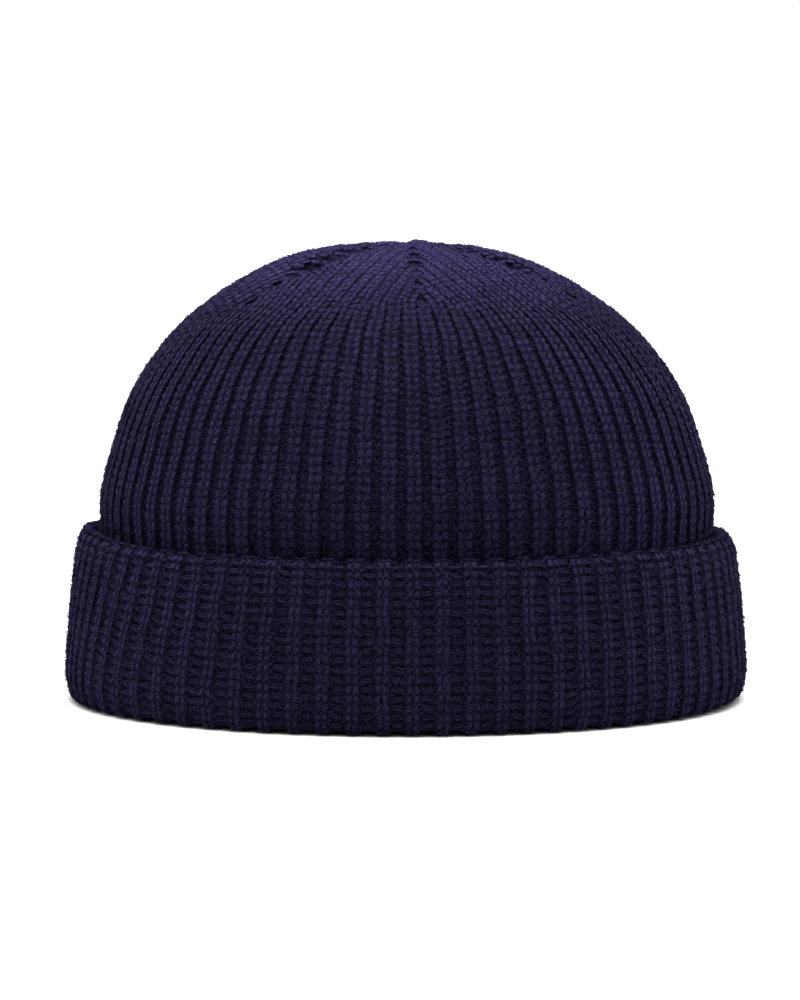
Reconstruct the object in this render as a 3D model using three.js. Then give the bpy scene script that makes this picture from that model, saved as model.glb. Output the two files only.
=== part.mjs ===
// A ribbed knit cap: a domed crown that six darts draw together, and the thick cuff turned up round it.
// Millimetres, +Z up. The rim's underside is z = 0, the axis is x = y = 0 and the front faces -Y.
import * as THREE from "three";

// Driving sizes of the knit
const ribCount = 78;
const dartCount = 6;
const knitThickness = 3.4;
const ribRelief = 1.3;
const reliefFadeReach = 20;
const columnsPerRib = 2;
const innerColumns = 78;

// Driving sizes of the crown's top
const gatherPoint = { x: 3.5, y: -8 };
const gatherReach = 70;
const gatherBump = { height: 1.2, spread: 4 };
const seamGroove = { depth: 2.5, halfWidth: 3.4 };
const seamRidgeInside = 1.6;
const frontDartBearing = 274.5;
const crownLean = 1.3;
const leanSharpness = 6;
const crownSqueeze = 0.3;

// Driving sizes of the cuff
const cuffHeight = 48.8;
const cuffSpread = 1.3;
const cuffRibBearing = 271;
const lipRise = { left: 3.4, right: 1.6, sharpness: 8 };

// Where the crown's wall runs inside the cuff, and the clearance between the two
const wallAtLip = { radius: 89.9, height: 45.5 };
const wallAtMiddle = { radius: 90.8, height: 26 };
const wallAtFoot = { radius: 92.9, height: 4.4 };
const pieceGap = 0.45;

// Arc distance from the apex at which each dart ends, from the front dart anticlockwise seen from above
const darts = [
  { place: "front", reach: 58 },
  { place: "front right", reach: 63 },
  { place: "back right", reach: 62 },
  { place: "back", reach: 60 },
  { place: "back left", reach: 62 },
  { place: "front left", reach: 69 },
];

// Outside of the crown over its rib crests, from the apex to where the wall stands on the rim's fold
const crownProfile = [
  { radius: 0, height: 133.4 },
  { radius: 12, height: 133.2 },
  { radius: 24, height: 131.8 },
  { radius: 36, height: 128.5 },
  { radius: 50, height: 121.6 },
  { radius: 65.3, height: 110.5 },
  { radius: 75.6, height: 98.7 },
  { radius: 82.4, height: 87 },
  { radius: 87.1, height: 73.5 },
  { radius: 90.3, height: 60 },
  wallAtLip,
  wallAtMiddle,
  wallAtFoot,
];

// Section of the cuff, up its outside, over the lip, down its inside, across the fold and under the rim.
// relief is the share of the rib relief that shows there.
const cuffOutside = [
  { radius: 97.4, height: 0, relief: 0 },
  { radius: 99.1, height: 0.9, relief: 0.6 },
  { radius: 99.9, height: 3.6, relief: 1 },
  { radius: 100, height: 9, relief: 1 },
  { radius: 99.3, height: 20, relief: 1 },
  { radius: 98.1, height: 33, relief: 1 },
  { radius: 96.8, height: 42.5, relief: 1 },
  { radius: 95.4, height: 46.8, relief: 0.8 },
  { radius: 92.9, height: cuffHeight, relief: 0.5 },
];
const cuffInside = [
  { radius: 90.9, height: 47.9 },
  { radius: wallAtLip.radius + pieceGap, height: wallAtLip.height },
  { radius: wallAtMiddle.radius + pieceGap, height: wallAtMiddle.height },
  { radius: wallAtFoot.radius + pieceGap, height: wallAtFoot.height - pieceGap },
  { radius: wallAtFoot.radius - knitThickness, height: wallAtFoot.height - 2 * pieceGap },
  { radius: 88.3, height: 2.6 },
  { radius: 89, height: 0.7 },
  { radius: 90.6, height: 0 },
];

// Arc distances from the apex of the rings below the darts, and of the rings of the inside
const crownRings = [77, 87, 98, 109, 120, 130, 137, 143, 164];
const insideRings = [164, 143, 130, 115, 100, 86, 72, 58, 44, 30, 15];

// How finely a radius is looked up on the profile
const lookupSteps = 40;
const curveDivisions = 2000;

const degree = Math.PI / 180;
const ribsPerGore = ribCount / dartCount;
const goreWidth = 360 / dartCount;

// The crown's profile as a smooth curve measured by arc distance from the apex
const profileCurve = new THREE.SplineCurve(
  crownProfile.map((row) => new THREE.Vector2(row.radius, row.height)),
);
profileCurve.arcLengthDivisions = curveDivisions;
const profileLength = profileCurve.getLength();

function arcAtRadius(radius) {
  let near = 0;
  let far = profileLength / 2;
  for (let step = 0; step < lookupSteps; step += 1) {
    const middle = (near + far) / 2;
    if (profileCurve.getPointAt(middle / profileLength).x < radius) {
      near = middle;
    } else {
      far = middle;
    }
  }
  return near;
}

// A point of the crown's surface, sunk by depth along the surface's normal
function crownPoint(bearing, along, depth) {
  const onProfile = profileCurve.getPointAt(Math.min(along / profileLength, 1));
  const pull = Math.max(0, 1 - along / gatherReach) ** 2;
  const x = onProfile.x * Math.cos(bearing * degree) + gatherPoint.x * pull;
  const y = onProfile.x * Math.sin(bearing * degree) + gatherPoint.y * pull;
  const radius = Math.hypot(x, y);
  const arc = pull > 0 ? arcAtRadius(radius) : along;
  const share = Math.min(arc / profileLength, 1);
  const surface = profileCurve.getPointAt(share);
  const tangent = profileCurve.getTangentAt(share);
  const outX = radius > 0 ? x / radius : 0;
  const outY = radius > 0 ? y / radius : 0;
  const sunkRadius = surface.x + tangent.y * depth;
  const bump = gatherBump.height * Math.exp(-((along / gatherBump.spread) ** 2));
  const height = surface.y - tangent.x * depth + bump;
  const lean = crownLean * (Math.max(0, height) / crownProfile[0].height) ** leanSharpness;
  return new THREE.Vector3(outX * sunkRadius - lean, outY * sunkRadius, height);
}

// Ribs crowd a little at the front and back of the crown, and spread a little there on the cuff
function squeezed(bearing, amount) {
  return bearing - amount * Math.sin(2 * (bearing + 90) * degree);
}

// How far the darts reach at a bearing counted in gores from the front dart
function dartReach(gores) {
  const whole = Math.floor(gores);
  const here = darts[whole % dartCount].reach;
  const next = darts[(whole + 1) % dartCount].reach;
  const blend = (1 - Math.cos((gores - whole) * Math.PI)) / 2;
  return here + (next - here) * blend;
}

function grooveDepth(distance) {
  return seamGroove.depth * Math.exp(-((distance / seamGroove.halfWidth) ** 2));
}

// Rings of the crown's outside, apex first. In the darts each ring loses one column on each side of
// every seam, so the ribs run parallel inside a gore and end on its seams.
function crownOutsideRings() {
  const halfColumns = (ribsPerGore * columnsPerRib) / 2;
  const rings = [[crownPoint(frontDartBearing, 0, 0)]];
  for (let row = 1; row <= halfColumns; row += 1) {
    rings.push(dartRing(row, halfColumns));
  }
  for (const along of [...crownRings, profileLength]) {
    rings.push(plainCrownRing(along));
  }
  return rings;
}

function dartRing(row, halfColumns) {
  const ring = [];
  for (let gore = 0; gore < dartCount; gore += 1) {
    for (let column = 0; column < 2 * row; column += 1) {
      const gores = gore + column / (2 * row);
      const along = (dartReach(gores) * row) / halfColumns;
      const bearing = squeezed(frontDartBearing + gores * goreWidth, crownSqueeze);
      const fromSeam = Math.min(column, 2 * row - column);
      const stepWidth = (along * goreWidth * degree) / (2 * row);
      const groove = grooveDepth(fromSeam * stepWidth);
      const fromCentre = row - fromSeam;
      const isValley = fromCentre % 2 === 0 && fromSeam > 0;
      const relief = ribRelief * Math.min(1, along / reliefFadeReach);
      ring.push(crownPoint(bearing, along, groove + (isValley ? relief : 0)));
    }
  }
  return ring;
}

function plainCrownRing(along) {
  const columns = ribCount * columnsPerRib;
  const ring = [];
  for (let column = 0; column < columns; column += 1) {
    const bearing = squeezed(frontDartBearing + (column * 360) / columns, crownSqueeze);
    const isValley = column % columnsPerRib === 1;
    ring.push(crownPoint(bearing, along, isValley ? ribRelief : 0));
  }
  return ring;
}

// Rings of the crown's inside, rim first, one column for each rib
function crownInsideRings() {
  const rings = [];
  for (const along of [profileLength, ...insideRings]) {
    const ring = [];
    for (let column = 0; column < innerColumns; column += 1) {
      const gores = (column * dartCount) / innerColumns;
      const bearing = squeezed(frontDartBearing + gores * goreWidth, crownSqueeze);
      const onSeam = column % ribsPerGore === 0 && along < dartReach(gores);
      ring.push(crownPoint(bearing, along, knitThickness + (onSeam ? seamRidgeInside : 0)));
    }
    rings.push(ring);
  }
  rings.push([crownPoint(frontDartBearing, 0, knitThickness + seamRidgeInside)]);
  return rings;
}

// The lip rises a little at the cap's two sides, more on its left than on its right
function cuffPoint(bearing, row, depth) {
  const sideways = Math.cos(bearing * degree);
  const sideRise = sideways < 0 ? lipRise.left : lipRise.right;
  const rise = sideRise * sideways ** lipRise.sharpness * (row.height / cuffHeight) ** 2;
  const radius = row.radius - depth;
  const x = radius * Math.cos(bearing * degree);
  const y = radius * Math.sin(bearing * degree);
  return new THREE.Vector3(x, y, row.height + rise);
}

function cuffRings() {
  const columns = ribCount * columnsPerRib;
  const outside = cuffOutside.map((row) => {
    const ring = [];
    for (let column = 0; column < columns; column += 1) {
      const bearing = squeezed(cuffRibBearing + (column * 360) / columns, -cuffSpread);
      const isValley = column % columnsPerRib === 1;
      ring.push(cuffPoint(bearing, row, isValley ? ribRelief * row.relief : 0));
    }
    return ring;
  });
  const inside = cuffInside.map((row) => {
    const ring = [];
    for (let column = 0; column < innerColumns; column += 1) {
      const bearing = squeezed(cuffRibBearing + (column * 360) / innerColumns, -cuffSpread);
      ring.push(cuffPoint(bearing, row, 0));
    }
    return ring;
  });
  return [...outside, ...inside];
}

// Joins two rings that may hold different numbers of points, both starting at the same bearing
function bridge(first, second, triangles) {
  let i = 0;
  let j = 0;
  while (i < first.length || j < second.length) {
    const nextFirst = (i + 1) / first.length;
    const nextSecond = (j + 1) / second.length;
    const advanceFirst = first.length > 1 && (second.length === 1 || nextFirst <= nextSecond);
    const a = first[i % first.length];
    const b = second[j % second.length];
    if (advanceFirst && i < first.length) {
      triangles.push([a, first[(i + 1) % first.length], b]);
      i += 1;
    } else if (j < second.length && second.length > 1) {
      triangles.push([a, second[(j + 1) % second.length], b]);
      j += 1;
    } else {
      break;
    }
  }
}

// Turns a stack of rings into one closed geometry; a ring shaped section closes on its first ring
function skin(rings, closesOnItself, turnedOut) {
  const points = [];
  const numbered = rings.map((ring) => ring.map((point) => points.push(point) - 1));
  const triangles = [];
  for (let row = 0; row + 1 < numbered.length; row += 1) {
    bridge(numbered[row], numbered[row + 1], triangles);
  }
  if (closesOnItself) {
    bridge(numbered[numbered.length - 1], numbered[0], triangles);
  }
  const geometry = new THREE.BufferGeometry();
  geometry.setFromPoints(points);
  geometry.setIndex(triangles.flatMap(([a, b, c]) => (turnedOut ? [a, b, c] : [a, c, b])));
  geometry.computeVertexNormals();
  return geometry;
}

function knitMaterial(red, green, blue) {
  return new THREE.MeshStandardMaterial({
    color: new THREE.Color().setRGB(red, green, blue, THREE.SRGBColorSpace),
    roughness: 0.95,
    metalness: 0,
  });
}

function makeCrown() {
  const rings = [...crownOutsideRings(), ...crownInsideRings()];
  const crown = new THREE.Mesh(skin(rings, false, false), knitMaterial(0.13, 0.12, 0.23));
  crown.name = "crown";
  return crown;
}

function makeCuff() {
  const cuff = new THREE.Mesh(skin(cuffRings(), true, true), knitMaterial(0.12, 0.11, 0.2));
  cuff.name = "cuff";
  return cuff;
}

const cap = new THREE.Group();
cap.add(makeCrown());
cap.add(makeCuff());

export default cap;
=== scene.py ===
"""Dresses the solids of a ribbed knit cap: yarn stitches on its ribs, rungs in its valleys, soft fuzz.

Lengths in the tables are millimetres in the frame of the solids: +Z up, the front faces -Y.
"""

import math
from collections import namedtuple
from functools import partial
from types import SimpleNamespace

import bmesh
import bpy
import numpy as np
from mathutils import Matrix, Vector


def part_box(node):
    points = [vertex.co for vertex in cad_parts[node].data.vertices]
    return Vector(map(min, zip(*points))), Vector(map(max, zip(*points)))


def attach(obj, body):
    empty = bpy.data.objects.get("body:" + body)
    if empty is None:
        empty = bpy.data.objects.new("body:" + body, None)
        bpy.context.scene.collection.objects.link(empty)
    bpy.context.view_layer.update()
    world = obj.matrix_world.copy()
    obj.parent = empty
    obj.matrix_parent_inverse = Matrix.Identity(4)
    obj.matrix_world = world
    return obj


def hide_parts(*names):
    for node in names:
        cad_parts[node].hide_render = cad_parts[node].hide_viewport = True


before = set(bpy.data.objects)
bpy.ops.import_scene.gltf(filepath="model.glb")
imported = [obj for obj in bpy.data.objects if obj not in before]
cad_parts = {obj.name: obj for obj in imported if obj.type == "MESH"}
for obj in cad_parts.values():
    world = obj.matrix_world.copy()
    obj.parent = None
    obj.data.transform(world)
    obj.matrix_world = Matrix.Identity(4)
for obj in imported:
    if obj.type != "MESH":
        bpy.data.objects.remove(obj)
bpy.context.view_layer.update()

bl_info = {
    "name": "Ribbed beanie",
    "version": (1, 0, 0),
    "blender": (4, 5, 0),
    "location": "View3D > Sidebar > Beanie",
    "description": "Knits the crown and the cuff of a ribbed cap over its solids and sets up a plain studio",
    "category": "Object",
}

MM = 0.001
CROWN_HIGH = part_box("crown")[1]
CUFF_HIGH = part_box("cuff")[1]

ProfilePoint = namedtuple("ProfilePoint", "radius height")
Dart = namedtuple("Dart", "place reach depth width")
SectionPoint = namedtuple("SectionPoint", "radius height relief")

# Outside of the crown over its rib crests, from the apex to where the wall stands on the rim's fold
CROWN_PROFILE = [
    ProfilePoint(*row)
    for row in (
        ((0, 133.4), (12, 133.2), (24, 131.8), (36, 128.5), (50, 121.6), (65.3, 110.5), (75.6, 98.7))
        + ((82.4, 87), (87.1, 73.5), (90.3, 60), (89.9, 45.5), (90.8, 26), (92.9, 4.4))
    )
]

# Arc distance from the apex at which each dart ends, how far it draws the knit in and the half width
# of its furrow, anticlockwise seen from above
DARTS = (
    Dart("front", 58, 1.3, 3),
    Dart("front right", 58, 5.5, 3.2),
    Dart("back right", 62, 3, 3.2),
    Dart("back", 60, 2.4, 3.2),
    Dart("back left", 62, 3, 3.2),
    Dart("front left", 61, 5.5, 3.2),
)

# Line that the cuff's rib crests follow: from inside the lip, over it, down the outside, round the
# rim's fold and up inside; relief is the share of the rib relief that shows there
CUFF_LINE = [
    SectionPoint(*row)
    for row in (
        ((90.7, 45.4, 0.3), (91.1, 47.6, 0.4), (92.9, 48.8, 0.6), (94.8, 47.7, 0.8), (95.9, 45.6, 1))
        + ((96.8, 42.5, 1), (98.1, 33, 1), (99.3, 20, 1), (100, 9, 1), (99.8, 3.4, 1), (98.7, 0.8, 0.8))
        + ((96.4, 0, 0.5), (92.2, 0, 0.5), (89.8, 0.6, 0.6), (88.5, 2.6, 0.6), (88.4, 5.4, 0.6))
    )
]

# The cuff's hidden side against the crown's wall, rim first
CUFF_BACK = [ProfilePoint(*row) for row in ((90.2, 4.2), (93.6, 4.4), (91.5, 26), (90.5, 44))]

RIBS = 78
RIBS_IN_GORE = RIBS // len(DARTS)
GORE_WIDTH = 360 / len(DARTS)
HALF_GORE = RIBS_IN_GORE / 2
NEAR_SEAM = 0.49999
RIB_STEP = 0.25
SEAM_ROUNDS = 8
# Twice the ribs' places in a gore, counted from its middle
RIB_HALVES = range(2 - RIBS_IN_GORE, RIBS_IN_GORE + 1, 2)
# Radius and height of the solids that the tables fit, in metres
DRAWN_RADIUS = 0.1
DRAWN_HEIGHT = 0.13454

# The gather at the apex; bearings are degrees from +X
GATHER_X = 3.5
GATHER_Y = -8
GATHER_REACH = 70
GATHER_BUMP = 1.2
GATHER_SPREAD = 4
GATHER_LOOPS = 7
GATHER_AHEAD = 1.6
LOOP_SIDES = 6
# How unevenly deep the loops lie, and the turn in radians from one to the next
LOOP_WAVE = (0.2, 2.4)
LOOP_ALONG = np.array([4.4, 3.4, 2.3, 1.2, 0.3])
LOOP_DEPTH = np.array([1.6, 1.1, 0.8, 0.7, 0.8])
LOOP_SWELL = np.array([0.8, 1.2, 1.3, 1.1, 0.6])

# The crown's ribs and furrows; spans are arc distances from the apex
FRONT_DART_BEARING = 276
CROWN_SQUEEZE = 0.3
TOP_SQUEEZE = 8
SQUEEZE_FADE = (30, 76)
CROWN_NIP = 0.7
CROWN_LEAN = 1.3
LEAN_SHARPNESS = 6
LEAST_RELIEF = 0.22
RELIEF_FADE = (28, 118)
# Furrow depth at which the painted shade in a dart's fold is darkest
FOLD_DEPTH = 4.2
LEAST_FURROW = 0.1
FURROW_FADE = (6, 26)
# Shares of a dart's reach between which its furrow runs out
FURROW_END = (0.55, 0.8)
LEVEL_AFTER = 70

# The cuff's ribs and lip; spans are arc distances along its line
CUFF_RIB_BEARING = 271
CUFF_SPREAD = 1.3
CUFF_HEIGHT = 48.8
LIP_RISE_LEFT = 2.2
LIP_RISE_RIGHT = 0.1
RIM_RISE_RIGHT = 0.9
RIM_RISE_FADE = (0, 0.6)
LIP_SHARPNESS = 8
CUFF_TWIST = 6
TWIST_BEARING = 208
TWIST_SPREAD = 26
TWIST_FADE = (2, 52)
PROUD_FADE = (3, 8)
PROUD_END = (46, 52)
TUCK = 0.2
TUCK_FADE = (47, 51)
FIRST_COURSE = 0.3
LAST_GAP = 0.6

# Gap of a crown's row from its seam, and the arc distances at which the rows end
STITCH_GAP = 0.8
RUNG_GAP = 0.6
STITCHES_END = 146
RUNGS_END = 142
FUZZ_END = 140
# Sideways waves of a rib and slips of its stitches
WAVELENGTHS = (26.0, 26.0 * 0.43)
SHORT_WAVE = 0.6
COURSE_DRIFT = 0.15
STITCH_SLIP = 0.03
RUNG_SLIP = 0.06
CROWN_RUNG_SWAY = 0.1
CUFF_RUNG_SWAY = 0.15
# Most turn in radians and most change of size from one stitch to the next
STITCH_JITTER = (0.07, 0.05)
CROWN_RUNG_JITTER = (0.1, 0.1)
CUFF_RUNG_JITTER = (0.2, 0.1)
FIBRE_JITTER = (0.4, 0.2)

# Seeds of the random draws, to which each gore, rib or piece adds its own number
CROWN_RIBS_SEED = 3
CROWN_RUNGS_SEED = 21
CUFF_RIBS_SEED = 31
CUFF_RUNGS_SEED = 41
FIBRES_SEED = 61
CUFF_RIBS_DRIFT = 80
CUFF_RUNGS_DRIFT = 90
CROWN_RIBS_WANDER = 50
CUFF_RIBS_WANDER = 700
CROWN_RUNGS_WANDER = 900
CUFF_RUNGS_WANDER = 1200

# The walls' columns across one rib: two on its crest, two in the valley beside it
ACROSS_RIB = np.array([-0.2, 0.2, 0.31, 0.69])
CROWN_VALLEY = (0.3, 0.7)
CUFF_VALLEY = (0.2, 0.3)
WALL_SINK = 0.05
APEX_FADE = 20
# Arc distances across the step by which the crown's wall widens into its foot
FOOT_STEP = (148, 152)
FOOT_FLARE = 0.6
# Rings above and below that step
OUTSIDE_RINGS = (52, 6)
INSIDE_RINGS = (24, 5)
OUTSIDE_START = 1.2
INSIDE_START = 3
CUFF_RINGS = 48
WALL_END_GAP = 0.4
INSIDE_RELIEF = 1.1
INSIDE_SINK = 0.2
INSIDE_FURROW = 0.7

# Stitch leg from root to tip: swelling of its yarn and how far it dives, as shares of its depth
LEG_SWELL = np.array([0.7, 0.95, 1.06, 0.78])
LEG_DIVE = np.array([0.55, 0.16, 0.0, 0.28])
LEG_FOOT = 0.74
LEG_PARTING = 0.5
LEG_LENGTH = 1.38
LEG_WIDTH_SHARE = 0.45
LEG_DEPTH_SHARE = 0.62
YARN_SIDES = 3
# Limits of a stitch's stretch, and how much wider and flatter it lies where the ribs vanish
WIDTH_LIMITS = (0.35, 1.15)
LENGTH_LIMITS = (0.6, 1.3)
FLATTENING = 0.5

# Purl loop from side to side: heights in shares of a course, swelling and sinking in shares of the yarn
PURL_ACROSS = np.array([-1, 0, 1])
PURL_HEAD = np.array([0.06, 0.18, 0.06])
PURL_STRAND = np.array([-0.08, -0.13, -0.08])
PURL_SWELL = np.array([0.315, 0.35, 0.315])
PURL_LIFT = np.array([0.1, 0, 0.1])
HEAD_SHARE = 0.46
STRAND_SHARE = 0.5
STRAND_SINK = 0.15
CROWN_RUNG_SPAN = 5.0
CUFF_RUNG_SPAN = 7.2

# Stray fibres: crowding towards the top, spread over a rib, and lengths against their nominal one
FIBRE_LIFT = 0.4
FUZZ_CROWD = 2.2
FUZZ_WIDEST = 1.2
FUZZ_SHIFT = 1.4
FUZZ_SUNK = (0.1, 0.8)
FUZZ_VALLEY = (0.22, 0.42)
FUZZ_SHORTEST = 0.55
FUZZ_SPREAD = 0.35
FUZZ_LONGEST = (1.6, 1.4)
FUZZ_CLEAR = 1.3

# Sockets of the tree that lays the stitches, and what keeps its two random draws apart
TREE_INPUTS = (
    ("Geometry", "Geometry", None),
    ("Stitch", "Object", None),
    ("Turn jitter", "Float", 0.06),
    ("Size jitter", "Float", 0.06),
    ("Seed", "Int", 1),
    ("Material", "Material", None),
)
TURN_SEED = 11
SIZE_SEED = 23

# Yarn: noise scales per metre, shares of the dye, and heights of the bump in millimetres
GRAIN_SCALE = 1600
GRAIN_DETAIL = 4
GRAIN_ROUGHNESS = 0.72
GRAIN_HEIGHT = 2.0
WALL_GRAIN_SCALE = 1300
CLOUD_SCALE = 45
CLOUD_DETAIL = 2
CLOUD_SHARE = 0.8
TONE_SHARE = 0.3
YARN_MIDDLE = 0.26
PLIES = 3.0
PLY_HEIGHT = 0.25
BUMP_STRENGTH = 0.9
YARN_BUMP = 0.35
WALL_BUMP = 0.7
WALL_SHEEN = 0.6
# Painted shade: the wall seen through the gaps between the stitches is coloured darker, crown then cuff
CROWN_WALL_SHADE = 0.76
CUFF_WALL_SHADE = 0.7
CHEVRON_SLANT = 2.2
# Painted light and shade along the chevron legs of the wall
CHEVRON_SHADE = 0.15
CHEVRON_HEIGHT = 0.5
# How fast the chevrons rise beside a rib's middle, and how softly they level off
CHEVRON_START = (12.0, 0.3)
# Painted shade in the wall's valleys, darker away from the rib crests
VALLEY_SHADE = 0.6
# The rungs' softness against the ribs', and how strong the painted shade is where their yarn dives under
RUNG_LOOK = (0.7, 0.3)
# Heights between which a painted light makes the crown's top lighter
LIGHT_FROM = 110
LIGHT_UNTIL = 134

# Studio: where the surroundings change from the horizon's strength to the one overhead, the floor's
# finish, and the camera's sensor in millimetres and farthest distance in metres
HORIZON_FADE = (0.2, 0.9)
FLOOR_ROUGHNESS = 0.95
SENSOR_WIDTH = 36
FARTHEST = 2000


def smooth_curve(points, steps=60):
    """A smooth line through points as rows of radius and height, with its arc distance."""
    rows = np.array([(point.radius, point.height) for point in points], float)
    last = len(rows) - 1
    parts = []
    for i in range(last):
        before = rows[max(i - 1, 0)]
        start = rows[i]
        end = rows[i + 1]
        after = rows[min(i + 2, last)]
        t = np.linspace(0, 1, steps, endpoint=i == last - 1)[:, None]
        leaving = (end - before) / 2
        arriving = (after - start) / 2
        cubic = (2 * start - 2 * end + leaving + arriving) * t**3
        square = (3 * end - 3 * start - 2 * leaving - arriving) * t**2
        parts.append(cubic + square + leaving * t + start)
    line = np.vstack(parts)
    arc = np.concatenate([[0], np.cumsum(np.linalg.norm(np.diff(line, axis=0), axis=1))])
    return arc, line[:, 0], line[:, 1]


CROWN_ARC, CROWN_RADIUS, CROWN_HEIGHT = smooth_curve(CROWN_PROFILE)
CROWN_TURN_R = np.gradient(CROWN_RADIUS, CROWN_ARC)
CROWN_TURN_H = np.gradient(CROWN_HEIGHT, CROWN_ARC)
CROWN_REACH = CROWN_ARC[-1]
SHOULDER = int(np.searchsorted(CROWN_ARC, CROWN_REACH / 2))
CUFF_ARC, CUFF_RADIUS, CUFF_LEVEL = smooth_curve(CUFF_LINE)


def in_frame(points):
    """Millimetres to metres, sized to the solids' own boxes."""
    wide = CUFF_HIGH.x / DRAWN_RADIUS
    tall = CROWN_HIGH.z / DRAWN_HEIGHT
    return points * np.array([wide, wide, tall]) * MM


def unit(vectors):
    return vectors / np.maximum(np.linalg.norm(vectors, axis=-1, keepdims=True), 1e-9)


def squeezed(bearing, amount):
    """Ribs crowd a little at the crown's front and back, and spread a little there on the cuff."""
    return bearing - amount * np.sin(np.radians(2 * (bearing + 90)))


def crown_point(bearing, along, depth):
    """A point of the crown's surface, sunk by depth along the surface's normal."""
    along = np.clip(along, 0, CROWN_REACH)
    turn = np.radians(squeezed(bearing, TOP_SQUEEZE * (1 - fade(along, *SQUEEZE_FADE))))
    pull = np.clip(1 - along / GATHER_REACH, 0, None) ** 2
    plain = np.interp(along, CROWN_ARC, CROWN_RADIUS)
    x = plain * np.cos(turn) + GATHER_X * pull
    y = plain * np.sin(turn) + GATHER_Y * pull
    radius = np.hypot(x, y)
    looked_up = np.interp(radius, CROWN_RADIUS[:SHOULDER], CROWN_ARC[:SHOULDER])
    arc = np.where(pull > 0, looked_up, along)
    turn_r = np.interp(arc, CROWN_ARC, CROWN_TURN_R)
    turn_h = np.interp(arc, CROWN_ARC, CROWN_TURN_H)
    sunk = np.interp(arc, CROWN_ARC, CROWN_RADIUS) + turn_h * depth
    bump = GATHER_BUMP * np.exp(-((along / GATHER_SPREAD) ** 2))
    height = np.interp(arc, CROWN_ARC, CROWN_HEIGHT) - turn_r * depth + bump
    share = np.clip(height, 0, None) / CROWN_PROFILE[0].height
    lean = CROWN_LEAN * share**LEAN_SHARPNESS
    out = np.maximum(radius, 1e-6)
    sunk = sunk - CROWN_NIP * np.clip(-x / out, 0, 1) ** 2 * np.sin(np.pi * np.minimum(share, 1))
    return np.stack([x / out * sunk - lean, y / out * sunk, height], axis=-1)


def dart_reach(gores):
    """How far the darts reach at a bearing counted in gores from the front dart."""
    whole = np.floor(gores).astype(int)
    reaches = np.array([dart.reach for dart in DARTS], float)
    here = reaches[whole % len(DARTS)]
    beyond = reaches[(whole + 1) % len(DARTS)]
    return here + (beyond - here) * (1 - np.cos((gores - whole) * np.pi)) / 2


def fade(value, start, end):
    """Eases from 0 at start to 1 at end."""
    share = np.clip((value - start) / (end - start), 0, 1)
    return share * share * (3 - 2 * share)


def relief_share(along):
    """The ribs close up towards the top, where the valleys all but vanish."""
    return LEAST_RELIEF + (1 - LEAST_RELIEF) * fade(along, *RELIEF_FADE)


def seam_groove(gores, along):
    """How far the crown's surface is drawn in by the darts on either side."""
    before = np.floor(gores).astype(int)
    share = gores - before
    reach = dart_reach(gores)
    runs_out = 1 - fade(along / reach, *FURROW_END)
    starts = LEAST_FURROW + (1 - LEAST_FURROW) * fade(along, *FURROW_FADE)
    depths = np.array([dart.depth for dart in DARTS])
    widths = np.array([dart.width for dart in DARTS])
    groove = 0.0
    for seam, away in ((before % len(DARTS), share), ((before + 1) % len(DARTS), 1 - share)):
        distance = along * math.radians(GORE_WIDTH) * away
        groove = groove + depths[seam] * np.exp(-((distance / widths[seam]) ** 2)) * (1 - away)
    return groove * runs_out * starts


def gore_bearing(gores):
    return squeezed(FRONT_DART_BEARING + gores * GORE_WIDTH, CROWN_SQUEEZE)


def ribs_from_middle(gores, along):
    """Ribs counted from the gore's middle, where crests lie on the halves."""
    share = gores - np.floor(gores)
    return (2 * share - 1) * HALF_GORE * np.minimum(1, along / dart_reach(gores))


def course_count(gores, along, course):
    """Courses counted from the apex: straight across a gore, and level below the darts."""
    across = 2 * (gores - np.floor(gores)) - 1
    straight = 1 - fade(along - dart_reach(gores), 0, LEVEL_AFTER)
    half_angle = math.radians(GORE_WIDTH / 2)
    return along * (1 - straight * (1 - np.cos(across * half_angle))) / course


def rib_line(gore, rib, start_gap, low_end):
    """Gores and arc distance along one rib or valley, from its seam down towards the rim."""
    seam = gore + (1 if rib > 0 else 0)
    start = DARTS[seam % len(DARTS)].reach * abs(rib) / HALF_GORE + start_gap
    along = np.arange(start, low_end, RIB_STEP)
    across = np.full_like(along, np.sign(rib))
    for _ in range(SEAM_ROUNDS):
        reach = dart_reach(gore + 0.5 + across * NEAR_SEAM)
        across = np.clip(rib / (HALF_GORE * np.minimum(1, along / reach)), -1, 1)
    return gore + 0.5 + across * NEAR_SEAM, along


def knit_row(place, along, beside, course, ribs, relief, travel, fold):
    """A row of stitches: their places, axes and measures; beside spans the given share of a rib."""
    return {
        "place": place,
        "along_axis": unit(along),
        "face_axis": unit(np.cross(beside, along)),
        "length": np.linalg.norm(along, axis=-1) / course,
        "pitch": np.linalg.norm(beside, axis=-1) / ribs,
        "relief": relief,
        "travel": travel,
        "fold": fold,
    }


def crown_row(gore, rib, sizes, depth, start_gap, low_end):
    """Places and axes of the stitches or rungs along one rib or valley of the crown."""
    course = sizes.course
    gores, along = rib_line(gore, rib, start_gap, low_end)
    count = course_count(gores, along, course)
    wanted = np.arange(math.ceil(count[0] - 0.5), count[-1] - 0.5) + 0.5

    def at(number, sideways=0.0):
        g = np.interp(number, count, gores) + sideways
        a = np.interp(number, count, along)
        sunk = depth * relief_share(a) if depth > 0 else depth
        return crown_point(gore_bearing(g), a, sunk + seam_groove(g, a)), g, a

    here, g, a = at(wanted)
    up = at(wanted - 0.5)[0] - at(wanted + 0.5)[0]
    step = 0.004
    beside = at(wanted, step)[0] - at(wanted, -step)[0]
    ribs = 2 * step * RIBS_IN_GORE * np.minimum(1, a / dart_reach(g))
    # How deep the stitch lies in a dart's furrow, for the painted shade in the folds
    fold = np.clip(seam_groove(g, a) / FOLD_DEPTH, 0, 1)
    return knit_row(here, up, beside, course, ribs, relief_share(a), a, fold)


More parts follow.
